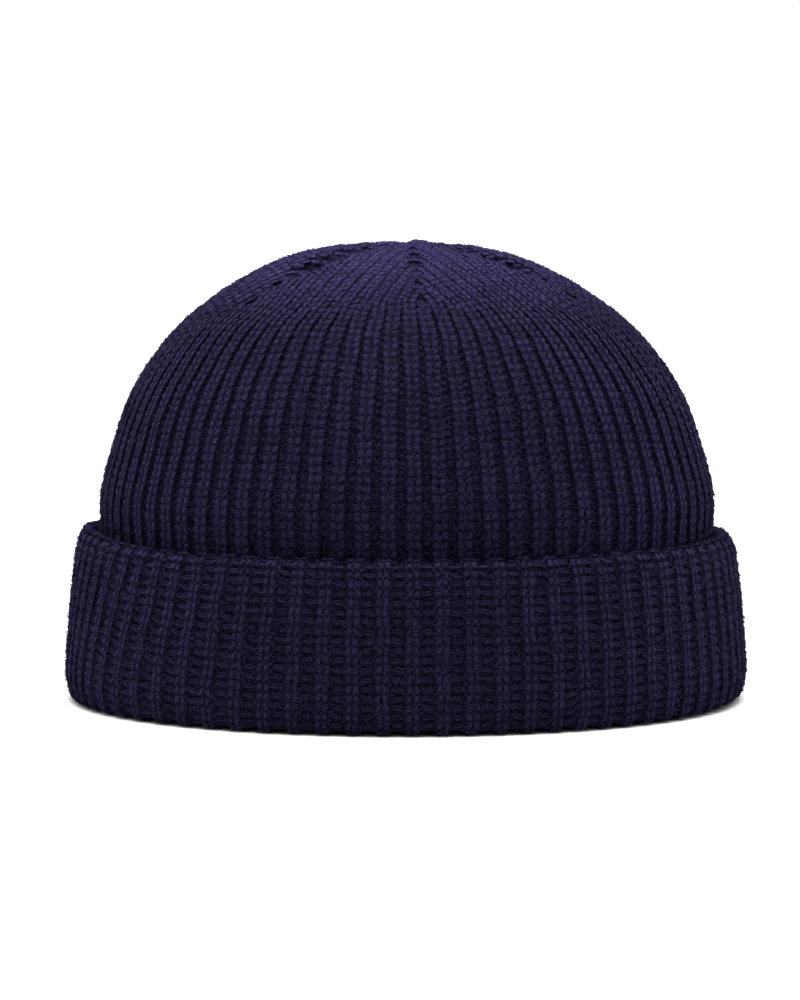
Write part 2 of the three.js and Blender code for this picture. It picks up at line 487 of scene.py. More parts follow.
def cuff_point(bearing, arc, depth):
    """A point of the cuff's surface, sunk by depth along the section's normal."""
    turn_r = np.interp(arc, CUFF_ARC, np.gradient(CUFF_RADIUS, CUFF_ARC))
    turn_h = np.interp(arc, CUFF_ARC, np.gradient(CUFF_LEVEL, CUFF_ARC))
    radius = np.interp(arc, CUFF_ARC, CUFF_RADIUS) + turn_h * depth
    height = np.interp(arc, CUFF_ARC, CUFF_LEVEL) - turn_r * depth
    return cuff_place(bearing, radius, height)


def cuff_place(bearing, radius, height):
    """The lip rises a little at the cap's two sides, more on its left than on its right."""
    sideways = np.cos(np.radians(bearing))
    side_rise = np.where(sideways < 0, LIP_RISE_LEFT, LIP_RISE_RIGHT)
    share = np.clip(height, 0, None) / CUFF_HEIGHT
    rim_rise = np.where(sideways < 0, 0, RIM_RISE_RIGHT) * (1 - fade(share, *RIM_RISE_FADE))
    rise = sideways**LIP_SHARPNESS * (side_rise * share**2 + rim_rise)
    x = radius * np.cos(np.radians(bearing))
    y = radius * np.sin(np.radians(bearing))
    return np.stack([x, y, height + rise], axis=-1)


def cuff_bearing(ribs, arc):
    """Bearing of a rib, which leans where the cuff was turned up a little askew."""
    bearing = squeezed(CUFF_RIB_BEARING + ribs * 360 / RIBS, -CUFF_SPREAD)
    aside = np.mod(bearing - TWIST_BEARING + 180, 360) - 180
    return bearing - CUFF_TWIST * np.exp(-((aside / TWIST_SPREAD) ** 2)) * fade(arc, *TWIST_FADE)


def cuff_sink(arc, proud):
    """The knit stands proud down the cuff's outside and draws in round the lip and the rim's fold."""
    stands_out = fade(arc, *PROUD_FADE) * (1 - fade(arc, *PROUD_END))
    return TUCK * fade(arc, *TUCK_FADE) - proud * stands_out


def cuff_row(ribs, sizes, depth, phase):
    """Places and axes of the stitches or rungs along one rib or valley of the cuff."""
    course = sizes.course
    arcs = np.arange(phase, CUFF_ARC[-1] / course - LAST_GAP) * course + FIRST_COURSE

    def at(arc, sideways=0.0):
        bearing = cuff_bearing(np.full_like(arc, ribs + sideways), arc)
        return cuff_point(bearing, arc, depth + cuff_sink(arc, sizes.proud))

    down = at(arcs + course / 2) - at(arcs - course / 2)
    step = 0.05
    beside = at(arcs, -step) - at(arcs, step)
    return knit_row(at(arcs), down, beside, course, 2 * step, np.ones_like(arcs), arcs, np.zeros_like(arcs))


def wander(row, seed, amount, slip):
    """Ribs in real knit wander a little from side to side, and stitches slip along them."""
    rng = np.random.default_rng(seed)
    phase = rng.uniform(0, 2 * np.pi, 2)
    long, short = [np.sin(row["travel"] * 2 * np.pi / w + p) for w, p in zip(WAVELENGTHS, phase)]
    sideways = (long + SHORT_WAVE * short) * amount
    slips = rng.normal(0, slip, len(sideways))
    beside = np.cross(row["along_axis"], row["face_axis"])
    row["place"] = row["place"] + beside * sideways[:, None] + row["along_axis"] * slips[:, None]
    return row


def course_drift(seed):
    """Small offsets of the courses from rib to rib, in courses."""
    return np.random.default_rng(seed).uniform(0, COURSE_DRIFT, RIBS)


def joined(rows):
    return {key: np.concatenate([row[key] for row in rows]) for key in rows[0]}


def new_object(name, data):
    piece = bpy.data.objects.new(name, data)
    bpy.context.scene.collection.objects.link(piece)
    return piece


def store(mesh, label, values):
    """Stores a number or a vector on each point of a mesh."""
    kind, field = ("FLOAT", "value") if np.ndim(values) == 1 else ("FLOAT_VECTOR", "vector")
    layer = mesh.attributes.new(label, kind, "POINT")
    layer.data.foreach_set(field, np.ascontiguousarray(values, np.float32).ravel())


def seed_points(rows, size):
    """A cloud of vertices that carries each stitch's axes and size."""
    mesh = bpy.data.meshes.new("seeds")
    mesh.from_pydata(in_frame(rows["place"]), [], [])
    store(mesh, "along_axis", rows["along_axis"])
    store(mesh, "face_axis", rows["face_axis"])
    store(mesh, "stitch_size", size)
    # Mask for the painted shade in the darts' folds
    store(mesh, "fold", rows["fold"])
    return new_object("seeds", mesh)


def tube(line, widths, depths, sides):
    """A closed tube round a line, with its own round-and-along layout."""
    line = np.array(line, float)
    along = unit(np.gradient(line, axis=0))
    out = np.tile([0.0, 0.0, 1.0], (len(line), 1))
    side = unit(np.cross(along, out))
    out = np.cross(side, along)
    last = len(line) - 1
    verts = []
    faces = []
    uvs = []
    for i in range(len(line)):
        for k in range(sides):
            turn = 2 * math.pi * (k + sides / 4 - 0.5) / sides
            shift = side[i] * math.cos(turn) * widths[i] + out[i] * math.sin(turn) * depths[i]
            verts.append(line[i] + shift)
    for i in range(last):
        for k in range(sides):
            corners = [(i, k), (i + 1, k), (i + 1, k + 1), (i, k + 1)]
            faces.append(tuple(ring * sides + place % sides for ring, place in corners))
            uvs.extend([(place / sides, ring / last) for ring, place in corners])
    for ring, places in ((0, range(sides)), (last, range(sides)[::-1])):
        faces.append(tuple(ring * sides + place for place in places))
        uvs.extend([(place / sides, ring / last) for place in places])
    return verts, faces, uvs


def turn_outwards(mesh):
    work = bmesh.new()
    work.from_mesh(mesh)
    bmesh.ops.recalc_face_normals(work, faces=work.faces)
    work.to_mesh(mesh)
    work.free()


def yarn_mesh(name, tubes):
    """Joins tubes into one mesh in metres with its layout and outward faces."""
    verts = []
    faces = []
    uvs = []
    for part_verts, part_faces, part_uvs in tubes:
        start = len(verts)
        verts.extend(part_verts)
        faces.extend([tuple(i + start for i in face) for face in part_faces])
        uvs.extend(part_uvs)
    mesh = bpy.data.meshes.new(name)
    mesh.from_pydata(np.array(verts) * MM, [], faces)
    layer = mesh.uv_layers.new(name="UVMap")
    layer.data.foreach_set("uv", np.array(uvs, np.float32).ravel())
    mesh.shade_smooth()
    turn_outwards(mesh)
    return new_object(name, mesh)


def stitch_shape(sizes):
    """One knit stitch: two plump legs that come up out of the stitch below and part upwards."""
    tubes = []
    steps = np.linspace(0, 1, len(LEG_SWELL))
    width = sizes.leg_width * LEG_WIDTH_SHARE * LEG_SWELL
    depth = sizes.leg_depth * LEG_DEPTH_SHARE * LEG_SWELL
    for hand in (-1, 1):
        x = hand * sizes.leg_spread * (LEG_FOOT + LEG_PARTING * steps)
        y = (steps - 0.5) * sizes.course * LEG_LENGTH
        z = -sizes.leg_depth * (0.5 + LEG_DIVE)
        tubes.append(tube(np.stack([x, y, z], 1), width, depth, YARN_SIDES))
    return yarn_mesh("stitch", tubes)


def purl_shape(sizes, span):
    """One purl stitch in the valley between two ribs: a loop's head over the strand that joins them."""
    swell = PURL_SWELL * sizes.rung_width
    sunk = PURL_LIFT - 0.5 * sizes.rung_width
    deeper = sunk - STRAND_SINK * sizes.rung_width
    head = np.stack([PURL_ACROSS * span * HEAD_SHARE, PURL_HEAD * sizes.course, sunk], 1)
    strand = np.stack([PURL_ACROSS * span * STRAND_SHARE, PURL_STRAND * sizes.course, deeper], 1)
    return yarn_mesh("purl", [tube(line, swell, swell, YARN_SIDES) for line in (head, strand)])


def fibre_shape(reach, thickness):
    """One stray fibre: a hair that runs to a point as it leaves the yarn."""
    turns = np.radians([90, 210, 330])
    root = [(thickness / 2 * math.cos(a), 0, thickness / 2 * math.sin(a)) for a in turns]
    verts = [*root, (0, reach, FIBRE_LIFT * reach)]
    faces = [(0, 1, 2), (0, 3, 1), (1, 3, 2), (2, 3, 0)]
    return yarn_mesh("fibre", [(verts, faces, [(0.5, 0.5)] * 3 * len(faces))])


def fuzz_rows(rows, count, seed, sizes, reach):
    """Scatters fibre roots over the ribs and down into the valleys, each fibre lying its own way."""
    rng = np.random.default_rng(seed)
    crowd = 1 + FUZZ_CROWD * (1 - rows["relief"])
    pick = rng.choice(len(crowd), count, p=crowd / crowd.sum())
    face = rows["face_axis"][pick]
    up = rows["along_axis"][pick]
    beside = np.cross(up, face)
    turn = rng.uniform(0, 2 * np.pi, count)[:, None]
    share = rng.uniform(-0.5, 0.5, count)[:, None]
    across = share * np.minimum(rows["pitch"][pick], sizes.rib_pitch * FUZZ_WIDEST)[:, None]
    shift = rng.uniform(-FUZZ_SHIFT, FUZZ_SHIFT, count)[:, None]
    valley = sizes.valley_depth * rows["relief"][pick][:, None]
    sunk = rng.uniform(*FUZZ_SUNK, count)[:, None] + valley * fade(np.abs(share), *FUZZ_VALLEY)
    place = rows["place"][pick] + beside * across + up * shift - face * sunk
    lying = up * np.cos(turn) + beside * np.sin(turn)
    scale = FUZZ_SHORTEST + rng.exponential(FUZZ_SPREAD, count)
    size = np.stack([np.ones(count), *[np.minimum(scale, most) for most in FUZZ_LONGEST]], 1)
    clear = place[:, 2] > FUZZ_CLEAR * reach * size[:, 1]
    roots = {"place": place, "along_axis": lying, "face_axis": face, "fold": rows["fold"][pick]}
    return {key: values[clear] for key, values in roots.items()}, size[clear]


def add_node(tree, kind, inputs=(), **settings):
    """Adds a node with its settings, and sets or links its inputs by their place or label."""
    node = tree.nodes.new(kind)
    for key, value in settings.items():
        setattr(node, key, value)
    for key, value in dict(inputs).items():
        if isinstance(value, bpy.types.NodeSocket):
            tree.links.new(value, node.inputs[key])
        else:
            node.inputs[key].default_value = value
    return node


def calculate(tree, operation, *values):
    """Adds a math node and returns its result."""
    return add_node(tree, "ShaderNodeMath", dict(enumerate(values)), operation=operation).outputs[0]


def lay_stitches_tree():
    """Node tree that lays a stitch on every point, along its rib and facing out."""
    tree = bpy.data.node_groups.new("Lay stitches", "GeometryNodeTree")
    tree.is_modifier = True
    calc = partial(calculate, tree)
    add = partial(add_node, tree)
    for label, kind, default in TREE_INPUTS:
        item = tree.interface.new_socket(label, in_out="INPUT", socket_type="NodeSocket" + kind)
        if default is not None:
            item.default_value = default
    tree.interface.new_socket("Geometry", in_out="OUTPUT", socket_type="NodeSocketGeometry")
    given = add("NodeGroupInput").outputs

    def vector(label):
        inputs = {"Name": label}
        return add("GeometryNodeInputNamedAttribute", inputs, data_type="FLOAT_VECTOR").outputs["Attribute"]

    def scatter(low, high, offset):
        inputs = {0: low, 1: high, "Seed": calc("ADD", given["Seed"], offset)}
        return add("FunctionNodeRandomValue", inputs, data_type="FLOAT_VECTOR").outputs[0]

    axes = {"Primary Axis": vector("face_axis"), "Secondary Axis": vector("along_axis")}
    facing = add("FunctionNodeAxesToRotation", axes, primary_axis="Z", secondary_axis="Y")
    turn = given["Turn jitter"]
    jitter = add("FunctionNodeEulerToRotation", {0: scatter(calc("MULTIPLY", turn, -1), turn, TURN_SEED)})
    turns = {0: facing.outputs[0], 1: jitter.outputs[0]}
    turned = add("FunctionNodeRotateRotation", turns, rotation_space="LOCAL")
    size = given["Size jitter"]
    growth = scatter(calc("SUBTRACT", 1, size), calc("ADD", 1, size), SIZE_SEED)
    grown = add("ShaderNodeVectorMath", {0: vector("stitch_size"), 1: growth}, operation="MULTIPLY")
    stitch = add("GeometryNodeObjectInfo", {"Object": given["Stitch"]})
    places = {
        "Points": given["Geometry"],
        "Instance": stitch.outputs["Geometry"],
        "Rotation": turned.outputs[0],
        "Scale": grown.outputs[0],
    }
    laid = add("GeometryNodeInstanceOnPoints", places).outputs[0]
    tone = add("FunctionNodeRandomValue", {"Seed": given["Seed"]}, data_type="FLOAT").outputs[1]
    dyed = {"Geometry": laid, "Name": "tone", "Value": tone}
    toned = add("GeometryNodeStoreNamedAttribute", dyed, data_type="FLOAT", domain="INSTANCE")
    real = add("GeometryNodeRealizeInstances", {"Geometry": toned.outputs[0]}).outputs[0]
    paint = add("GeometryNodeSetMaterial", {"Geometry": real, "Material": given["Material"]})
    add("NodeGroupOutput", {"Geometry": paint.outputs[0]})
    return tree


def knit(name, rows, size, shape, material, seed, turn_jitter, size_jitter):
    """Lays a stitch on every row as one plain mesh and clears the makings away."""
    carrier = seed_points(rows, size)
    modifier = carrier.modifiers.new("Knit", "NODES")
    modifier.node_group = lay_stitches_tree()
    values = {
        "Stitch": shape,
        "Turn jitter": turn_jitter,
        "Size jitter": size_jitter,
        "Seed": seed,
        "Material": material,
    }
    for item in modifier.node_group.interface.items_tree:
        if item.item_type == "SOCKET" and item.in_out == "INPUT" and item.name in values:
            modifier[item.identifier] = values[item.name]
    carrier.update_tag()
    graph = bpy.context.evaluated_depsgraph_get()
    evaluated = carrier.evaluated_get(graph)
    mesh = bpy.data.meshes.new_from_object(evaluated, preserve_all_data_layers=True, depsgraph=graph)
    if len(mesh.polygons) == 0:
        raise RuntimeError(f"{name}: the node tree made nothing")
    carrier.modifiers.remove(modifier)
    bpy.data.objects.remove(carrier)
    bpy.data.objects.remove(shape)
    mesh.name = name
    return new_object(name, mesh)


def declare(piece, slot, *nodes):
    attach(piece, "root")
    if nodes:
        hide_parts(*nodes)


def ring_mesh(name, rings, rib_phase, course_phase, endless):
    """A closed mesh from rings of points; its ends are capped unless the rings run round endlessly."""
    count = len(rings)
    grid = np.arange(count * len(rings[0])).reshape(count, -1)
    faces = []
    for i in range(count if endless else count - 1):
        low = grid[i]
        high = grid[(i + 1) % count]
        quads = np.stack([low, np.roll(low, -1), np.roll(high, -1), high], 1)
        faces.extend(map(tuple, quads.tolist()))
    if not endless:
        faces.append(tuple(grid[0].tolist()))
        faces.append(tuple(grid[-1].tolist()))
    mesh = bpy.data.meshes.new(name)
    mesh.from_pydata(in_frame(np.concatenate(rings)), [], faces)
    store(mesh, "rib_phase", np.concatenate(rib_phase))
    store(mesh, "course_phase", np.concatenate(course_phase))
    mesh.shade_smooth()
    turn_outwards(mesh)
    return new_object(name, mesh)


def wool(name, look, sheen):
    """A matt material with the yarn's soft halo at grazing angles, and its node tree."""
    material = bpy.data.materials.new(name)
    material.use_nodes = True
    shader = material.node_tree.nodes["Principled BSDF"]
    shader.inputs["Roughness"].default_value = look.roughness
    shader.inputs["Sheen Weight"].default_value = sheen
    shader.inputs["Sheen Roughness"].default_value = look.sheen_roughness
    shader.inputs["Sheen Tint"].default_value = (*look.sheen_colour, 1)
    shader.inputs["Specular IOR Level"].default_value = look.specular
    return material, material.node_tree


def noise(tree, scale, detail, roughness=0.5):
    """Noise laid out in the piece's own coordinates."""
    place = add_node(tree, "ShaderNodeTexCoord").outputs["Object"]
    inputs = {"Vector": place, "Scale": scale, "Detail": detail, "Roughness": roughness}
    return add_node(tree, "ShaderNodeTexNoise", inputs).outputs["Fac"]


def stored(tree, label):
    """A value stored on the piece's points."""
    return add_node(tree, "ShaderNodeAttribute", attribute_name=label).outputs["Fac"]


def rising(tree, coordinate, low, high, least, most):
    """A value that eases from least to most as a coordinate's height goes from low to high."""
    place = add_node(tree, "ShaderNodeTexCoord").outputs[coordinate]
    height = add_node(tree, "ShaderNodeSeparateXYZ", {0: place}).outputs["Z"]
    inputs = {"Value": height, "From Min": low, "From Max": high, "To Min": least, "To Max": most}
    return add_node(tree, "ShaderNodeMapRange", inputs, interpolation_type="SMOOTHSTEP").outputs["Result"]


def painted_light_and_fold_shade(tree, look):
    """Painted light and shade: rises from 1 on the sides to its most over the crown's top, and falls as
    painted shade in the darts' folds.
    """
    # Painted light over the crown's top, rising with height
    rise = rising(tree, "Object", LIGHT_FROM * MM, LIGHT_UNTIL * MM, 1, 1 + look.top_painted_light)
    # Painted shade deep in the darts' folds
    painted_fold_shade_factor = calculate(tree, "MULTIPLY_ADD", stored(tree, "fold"), -look.fold_shade, 1.0)
    return calculate(tree, "MULTIPLY", rise, painted_fold_shade_factor)


def dye_and_painted_light(tree, look, tint, share, darkest, lightest):
    """Colours the yarn from its darkest to its lightest as share runs from 0 to 1, share carrying the fibres'
    tone and any painted shade; then scales it by the painted top light and painted fold shade.
    """
    ramp = add_node(tree, "ShaderNodeValToRGB", {"Fac": share})
    for element, level in zip(ramp.color_ramp.elements, (darkest, lightest)):
        element.color = (*[c * t * level for c, t in zip(look.colour, tint)], 1)
    inputs = {0: ramp.outputs["Color"], "Scale": painted_light_and_fold_shade(tree, look)}
    scaled = add_node(tree, "ShaderNodeVectorMath", inputs, operation="SCALE")
    tree.links.new(scaled.outputs[0], tree.nodes["Principled BSDF"].inputs["Base Color"])


def roughen(tree, height, strength, distance):
    """Raises the surface by height, in millimetres of distance."""
    inputs = {"Height": height, "Strength": strength, "Distance": distance * MM}
    bump = add_node(tree, "ShaderNodeBump", inputs)
    tree.links.new(bump.outputs["Normal"], tree.nodes["Principled BSDF"].inputs["Normal"])
    return bump


def soften(tree, softness, bump):
    """Turns each strand's normals towards the cap's form, as light spreads through the wool's fuzz."""
    form = add_node(tree, "ShaderNodeAttribute", attribute_name="face_axis").outputs["Vector"]
    strand = add_node(tree, "ShaderNodeNewGeometry").outputs["Normal"]
    mix = add_node(tree, "ShaderNodeMix", {"Factor": softness, 4: strand, 5: form}, data_type="VECTOR")
    straight = add_node(tree, "ShaderNodeVectorMath", {0: mix.outputs[1]}, operation="NORMALIZE")
    tree.links.new(straight.outputs[0], bump.inputs["Normal"])


def yarn_material(name, look, tint, shade=1.0, softness=1.0, dive_shade=1.1):
    """Navy yarn: plied twist, fibre grain, uneven dyeing and a soft halo, with a painted shade where it dives
    under.
    """
    material, tree = wool(name, look, look.sheen)
    calc = partial(calculate, tree)
    grain = noise(tree, GRAIN_SCALE, GRAIN_DETAIL, GRAIN_ROUGHNESS)
    cloud = noise(tree, CLOUD_SCALE, CLOUD_DETAIL)
    layout = add_node(tree, "ShaderNodeUVMap", uv_map="UVMap").outputs[0]
    split = add_node(tree, "ShaderNodeSeparateXYZ", {0: layout}).outputs
    from_middle = calc("MULTIPLY_ADD", split["Y"], 2.0, -1.0)
    # Painted shade towards both ends of a strand, where it dives under its neighbours
    dive_shade_mask = calc("MULTIPLY", from_middle, from_middle)
    middle = YARN_MIDDLE - look.grain / 2
    share = calc("MULTIPLY_ADD", stored(tree, "tone"), TONE_SHARE, middle)
    share = calc("MULTIPLY_ADD", grain, look.grain, share)
    share = calc("MULTIPLY_ADD", cloud, CLOUD_SHARE, share)
    share = calc("MULTIPLY_ADD", dive_shade_mask, -dive_shade, share)
    # shade is a painted shade on the valleys' rungs, 1 on the ribs
    dye_and_painted_light(tree, look, tint, share, look.depth_of_dye * shade, look.lint * shade)
    turns = calc("MULTIPLY_ADD", split["Y"], look.twist, calc("MULTIPLY", split["X"], PLIES))
    ply = calc("SINE", calc("MULTIPLY", turns, 2 * math.pi))
    height = calc("MULTIPLY_ADD", ply, PLY_HEIGHT, calc("MULTIPLY", grain, GRAIN_HEIGHT))
    soften(tree, look.softness * softness, roughen(tree, height, BUMP_STRENGTH, YARN_BUMP))
    return material


def fuzz_material(name, look, tint):
    """Stray fibres: the yarn's colour, lighter at random from fibre to fibre and lifted as a painted sheen.
    """
    material, tree = wool(name, look, 0.0)
    dye_and_painted_light(tree, look, tint, stored(tree, "tone"), 1.0, look.fuzz_lightness)
    return material


def wall_material(name, look, tint, shade):
    """The knit behind the stitches: chevrons of yarn along each rib, with painted light and shade along the
    chevrons and painted shade in the valleys, from the wall's own rib layout.
    """
    material, tree = wool(name, look, look.sheen * WALL_SHEEN)
    calc = partial(calculate, tree)
    grain = noise(tree, WALL_GRAIN_SCALE, GRAIN_DETAIL)
    off_crest = calc("PINGPONG", stored(tree, "rib_phase"), 0.5)
    slant = calc("MULTIPLY_ADD", off_crest, -CHEVRON_SLANT, stored(tree, "course_phase"))
    legs = calc("SINE", calc("MULTIPLY", slant, 2 * math.pi))
    gap = calc("SMOOTH_MIN", calc("MULTIPLY", off_crest, CHEVRON_START[0]), 1.0, CHEVRON_START[1])
    share = calc("MULTIPLY_ADD", grain, look.grain, 0.5 - look.grain / 2)
    share = calc("MULTIPLY_ADD", legs, CHEVRON_SHADE, share)
    # Painted shade deeper in the valleys
    share = calc("MULTIPLY_ADD", off_crest, -VALLEY_SHADE, share)
    dye_and_painted_light(tree, look, tint, share, look.depth_of_dye * shade, look.lint * shade)
    height = calc("MULTIPLY_ADD", calc("MULTIPLY", legs, gap), CHEVRON_HEIGHT, grain)
    roughen(tree, height, BUMP_STRENGTH, WALL_BUMP)
    return material


def number(label, description, default, **limits):
    return bpy.props.FloatProperty(name=label, description=description, default=default, **limits)


def length(label, description, default, least=0.0):
    """A length whose default is given in millimetres."""
    return number(label, description, default * MM, min=least, unit="LENGTH", precision=5)


def angle(label, description, degrees):
    return number(label, description, math.radians(degrees), subtype="ANGLE")


def factor(label, description, default, top=1.0):
    return number(label, description, default, min=0, max=top)


def tally(label, description, default):
    return bpy.props.IntProperty(name=label, description=description, default=default, min=1)


def colour(label, description, default):
    return bpy.props.FloatVectorProperty(
        name=label, description=description, default=default, size=3, min=0, max=1, subtype="COLOR"
    )


class CrownSizes(bpy.types.PropertyGroup):
    """Sizes of the crown's knit."""

    course: length("Course", "Height of one course of stitches", 2.65)
    rib_pitch: length("Rib pitch", "Rib to rib where the stitch sizes are set", 7.25)
    proud: length("Proud", "How far the stitches stand out of the solid", 0.45)
    leg_spread: length("Leg spread", "From a rib's middle to the middle of a stitch leg", 1.2)
    leg_width: length("Leg width", "Width of a stitch leg's yarn", 2.05)
    leg_depth: length("Leg depth", "Depth of a stitch leg's yarn", 1.3)
    rung_width: length("Rung width", "Thickness of the yarn across a valley", 1.2)
    rung_sink: length("Rung sink", "How deep the rungs lie below the rib crests", 0.8)
    valley_depth: length("Valley depth", "Depth of the wall's valleys below its crests", 1.25)
    thickness: length("Thickness", "Thickness of the knit", 3.4)
    wander: length("Wander", "How far a rib wanders sideways", 0.16)


class CuffSizes(bpy.types.PropertyGroup):
    """Sizes of the cuff's knit."""

    course: length("Course", "Height of one course of stitches", 2.65)
    rib_pitch: length("Rib pitch", "Rib to rib where the stitch sizes are set", 8.1)
    proud: length("Proud", "How far the stitches stand out of the solid", 0.45)
    leg_spread: length("Leg spread", "From a rib's middle to the middle of a stitch leg", 0.93)
    leg_width: length("Leg width", "Width of a stitch leg's yarn", 1.8)
    leg_depth: length("Leg depth", "Depth of a stitch leg's yarn", 1.1)
    rung_width: length("Rung width", "Thickness of the yarn across a valley", 1.2)
    rung_sink: length("Rung sink", "How deep the rungs lie below the rib crests", 0.85)
    valley_depth: length("Valley depth", "Depth of the wall's valleys below its crests", 1.45)
    wander: length("Wander", "How far a rib wanders sideways", 0.22)


class YarnLook(bpy.types.PropertyGroup):
    """Colour and finish of the yarn, and the light and shade painted into it."""

    colour: colour("Colour", "Dye of the yarn", (0.0142, 0.0123, 0.0333))
    depth_of_dye: factor("Depth of dye", "Darkest fibres as a share of the colour", 0.35)
    lint: factor("Lint", "Lightest fibres as a share of the colour", 1.9, 4.0)
    grain: factor("Grain", "How strongly the fibres differ from place to place", 6.2, 9.0)
    # Painted light: the crown's top is coloured lighter, as if lit from overhead
    top_painted_light: factor("Top painted light", "How much lighter the top is, as a share of the colour", 1.0)
    # Painted shade: the yarn is coloured darker deep in the darts' folds
    fold_shade: factor("Fold shade", "How much darker the yarn is deep in a dart's fold", 0.75)
    # Painted shade: the rungs' yarn in the valleys is coloured darker than the ribs'
    crown_valley_shade: factor("Crown valleys", "Lightness as a share of the ribs'", 0.74)
    cuff_valley_shade: factor("Cuff valleys", "Lightness as a share of the ribs'", 0.78)
    # Painted shade: the crown's yarn is coloured a little darker than the cuff's, though it is one yarn, to
    # even out how the light falls on them
    crown_tint: colour("Crown tint", "Tint of the crown against the yarn's colour", (0.89, 0.89, 0.89))
    cuff_tint: colour("Cuff tint", "Tint of the cuff against the yarn's colour", (1, 1, 0.97))
    softness: factor("Softness", "How far the shading follows the cap's form, not each strand", 0.74)
    roughness: factor("Roughness", "Roughness of the fibres", 0.95)
    specular: factor("Gloss", "Strength of the yarn's gloss", 0.05)
    sheen: factor("Sheen", "Strength of the soft halo at grazing angles", 0.12)
    sheen_roughness: factor("Sheen roughness", "How far the halo spreads", 0.35)
    sheen_colour: colour("Sheen colour", "Colour of the soft halo", (0.34, 0.31, 0.8))
    twist: factor("Twist", "Turns of the plies along a stitch leg", 1.4, 8.0)
    crown_fibres: tally("Crown fibres", "Stray fibres on the crown", 72000)
    cuff_fibres: tally("Cuff fibres", "Stray fibres on the cuff", 42000)
    fuzz_length: length("Fuzz length", "Length of a short fibre", 1.25)
    fuzz_thickness: length("Fuzz thickness", "Thickness of a short fibre", 0.27)
    flyaway_share: factor("Flyaways", "Share of the fibres that are long and fine", 0.45)
    flyaway_length: length("Flyaway length", "Length of a long fibre", 1.9)
    flyaway_thickness: length("Flyaway thickness", "Thickness of a long fibre", 0.18)
    # Partly painted sheen: stray fibres are coloured lighter than the yarn for the halo the fuzz catches, and
    # vary at random
    fuzz_lightness: factor("Fuzz lightness", "Lightest stray fibres as a share of the colour", 2.6, 20.0)


class StudioSizes(bpy.types.PropertyGroup):
    """The floor, the light and the camera."""

    floor_size: length("Floor size", "Width of the floor", 800000)
    floor_colour: colour("Floor colour", "Colour of the floor", (0.6, 0.6, 0.6))
    overhead_light: factor("Overhead light", "Strength of the broad soft light overhead", 8.0, 100.0)
    overhead_breadth: angle("Overhead breadth", "Angle that the overhead light fills", 50)
    overhead_tilt: angle("Overhead tilt", "How far the light leans to the front", 4)
    backdrop_light: factor("Backdrop light", "Strength of the white surroundings on the horizon", 1.1, 10.0)
    room_light: factor("Room light", "Strength of the white surroundings overhead", 1.1, 10.0)
    contrast: factor("Picture gamma", "Gamma of the finished picture", 0.85, 5.0)
    camera_distance: length("Camera distance", "From the cap's axis to the camera", 1500)
    camera_height: length("Camera height", "Height of the camera above the floor", 174)
    camera_shift: length("Camera shift", "Camera's sideways place", -1.76, -1.0)
    camera_pitch: angle("Camera pitch", "How far the camera looks down", 4.42)
    camera_lens: factor("Lens", "Focal length in millimetres", 184.14, 1000.0)


def millimetres(group):
    """A property group's lengths in millimetres."""
    return SimpleNamespace(**{key: getattr(group, key) / MM for key in group.__annotations__})


def knit_sizes(rows, sizes, width_power):
    """Stitch sizes that follow the rib pitch; stitches lie wider and flatter where the ribs close up."""
    wide = np.clip(rows["pitch"] / sizes.rib_pitch, *WIDTH_LIMITS) ** width_power
    flat = FLATTENING * (1 - rows["relief"])
    long = np.clip(rows["length"], *LENGTH_LIMITS)
    return np.stack([wide * (1 + flat), long, (0.5 + 0.5 * wide) * (1 - flat)], axis=-1)


def wall_levels(start, end, above, below):
    """Arc distances of the crown's rings, above and below the step into its foot."""
    low, high = FOOT_STEP
    return np.concatenate([np.linspace(start, low, above), np.linspace(high, end, below)])


def knit_piece(name, slot, rows, sizes, shape, material, seed, jitter, width_power=0.5):
    rows = joined(rows)
    size = knit_sizes(rows, sizes, width_power)
    declare(knit(name, rows, size, shape, material, seed, *jitter), slot)


class BEANIE_OT_crown_wall(bpy.types.Operator):
    """Builds the crown's wall, the knit behind the stitches, with its plain inside"""

    bl_idname = "beanie.crown_wall"
    bl_label = "Crown wall"

    def execute(self, context):
        sizes = millimetres(context.scene.beanie_crown)
        look = context.scene.beanie_yarn
        gores = (np.arange(RIBS)[:, None] + ACROSS_RIB).ravel() / RIBS_IN_GORE
        bearings = gore_bearing(gores)
        end = CROWN_REACH - WALL_END_GAP
        outside = wall_levels(OUTSIDE_START, end, *OUTSIDE_RINGS)
        inside = wall_levels(INSIDE_START, end, *INSIDE_RINGS)[::-1]
        rings = []
        rib_phase = []
        course_phase = []
        for i, along in enumerate(np.concatenate([outside, inside])):
            level = np.full(len(gores), along)
            ribs = ribs_from_middle(gores, level)
            crest = 0.5 + 0.5 * np.cos(2 * np.pi * (ribs - 0.5))
            fades = min(1, along / APEX_FADE) * relief_share(along)
            furrow = seam_groove(gores, level)
            if i < len(outside):
                valley = sizes.valley_depth * fade(1 - crest, *CROWN_VALLEY)
                depth = WALL_SINK + valley * fades + furrow - FOOT_FLARE * (along > FOOT_STEP[0])
            else:
                relief = INSIDE_RELIEF * crest * fades
                depth = sizes.thickness + INSIDE_SINK + relief + furrow * INSIDE_FURROW
            rings.append(crown_point(bearings, level, depth))
            rib_phase.append(np.abs(ribs) - 0.5)
            course_phase.append(course_count(gores, level, sizes.course))
        wall = ring_mesh("crown_wall", rings, rib_phase, course_phase, False)
        wall.data.materials.append(wall_material("crown_wall_knit", look, look.crown_tint, CROWN_WALL_SHADE))
        declare(wall, "crown_knit", "crown")
        return {"FINISHED"}


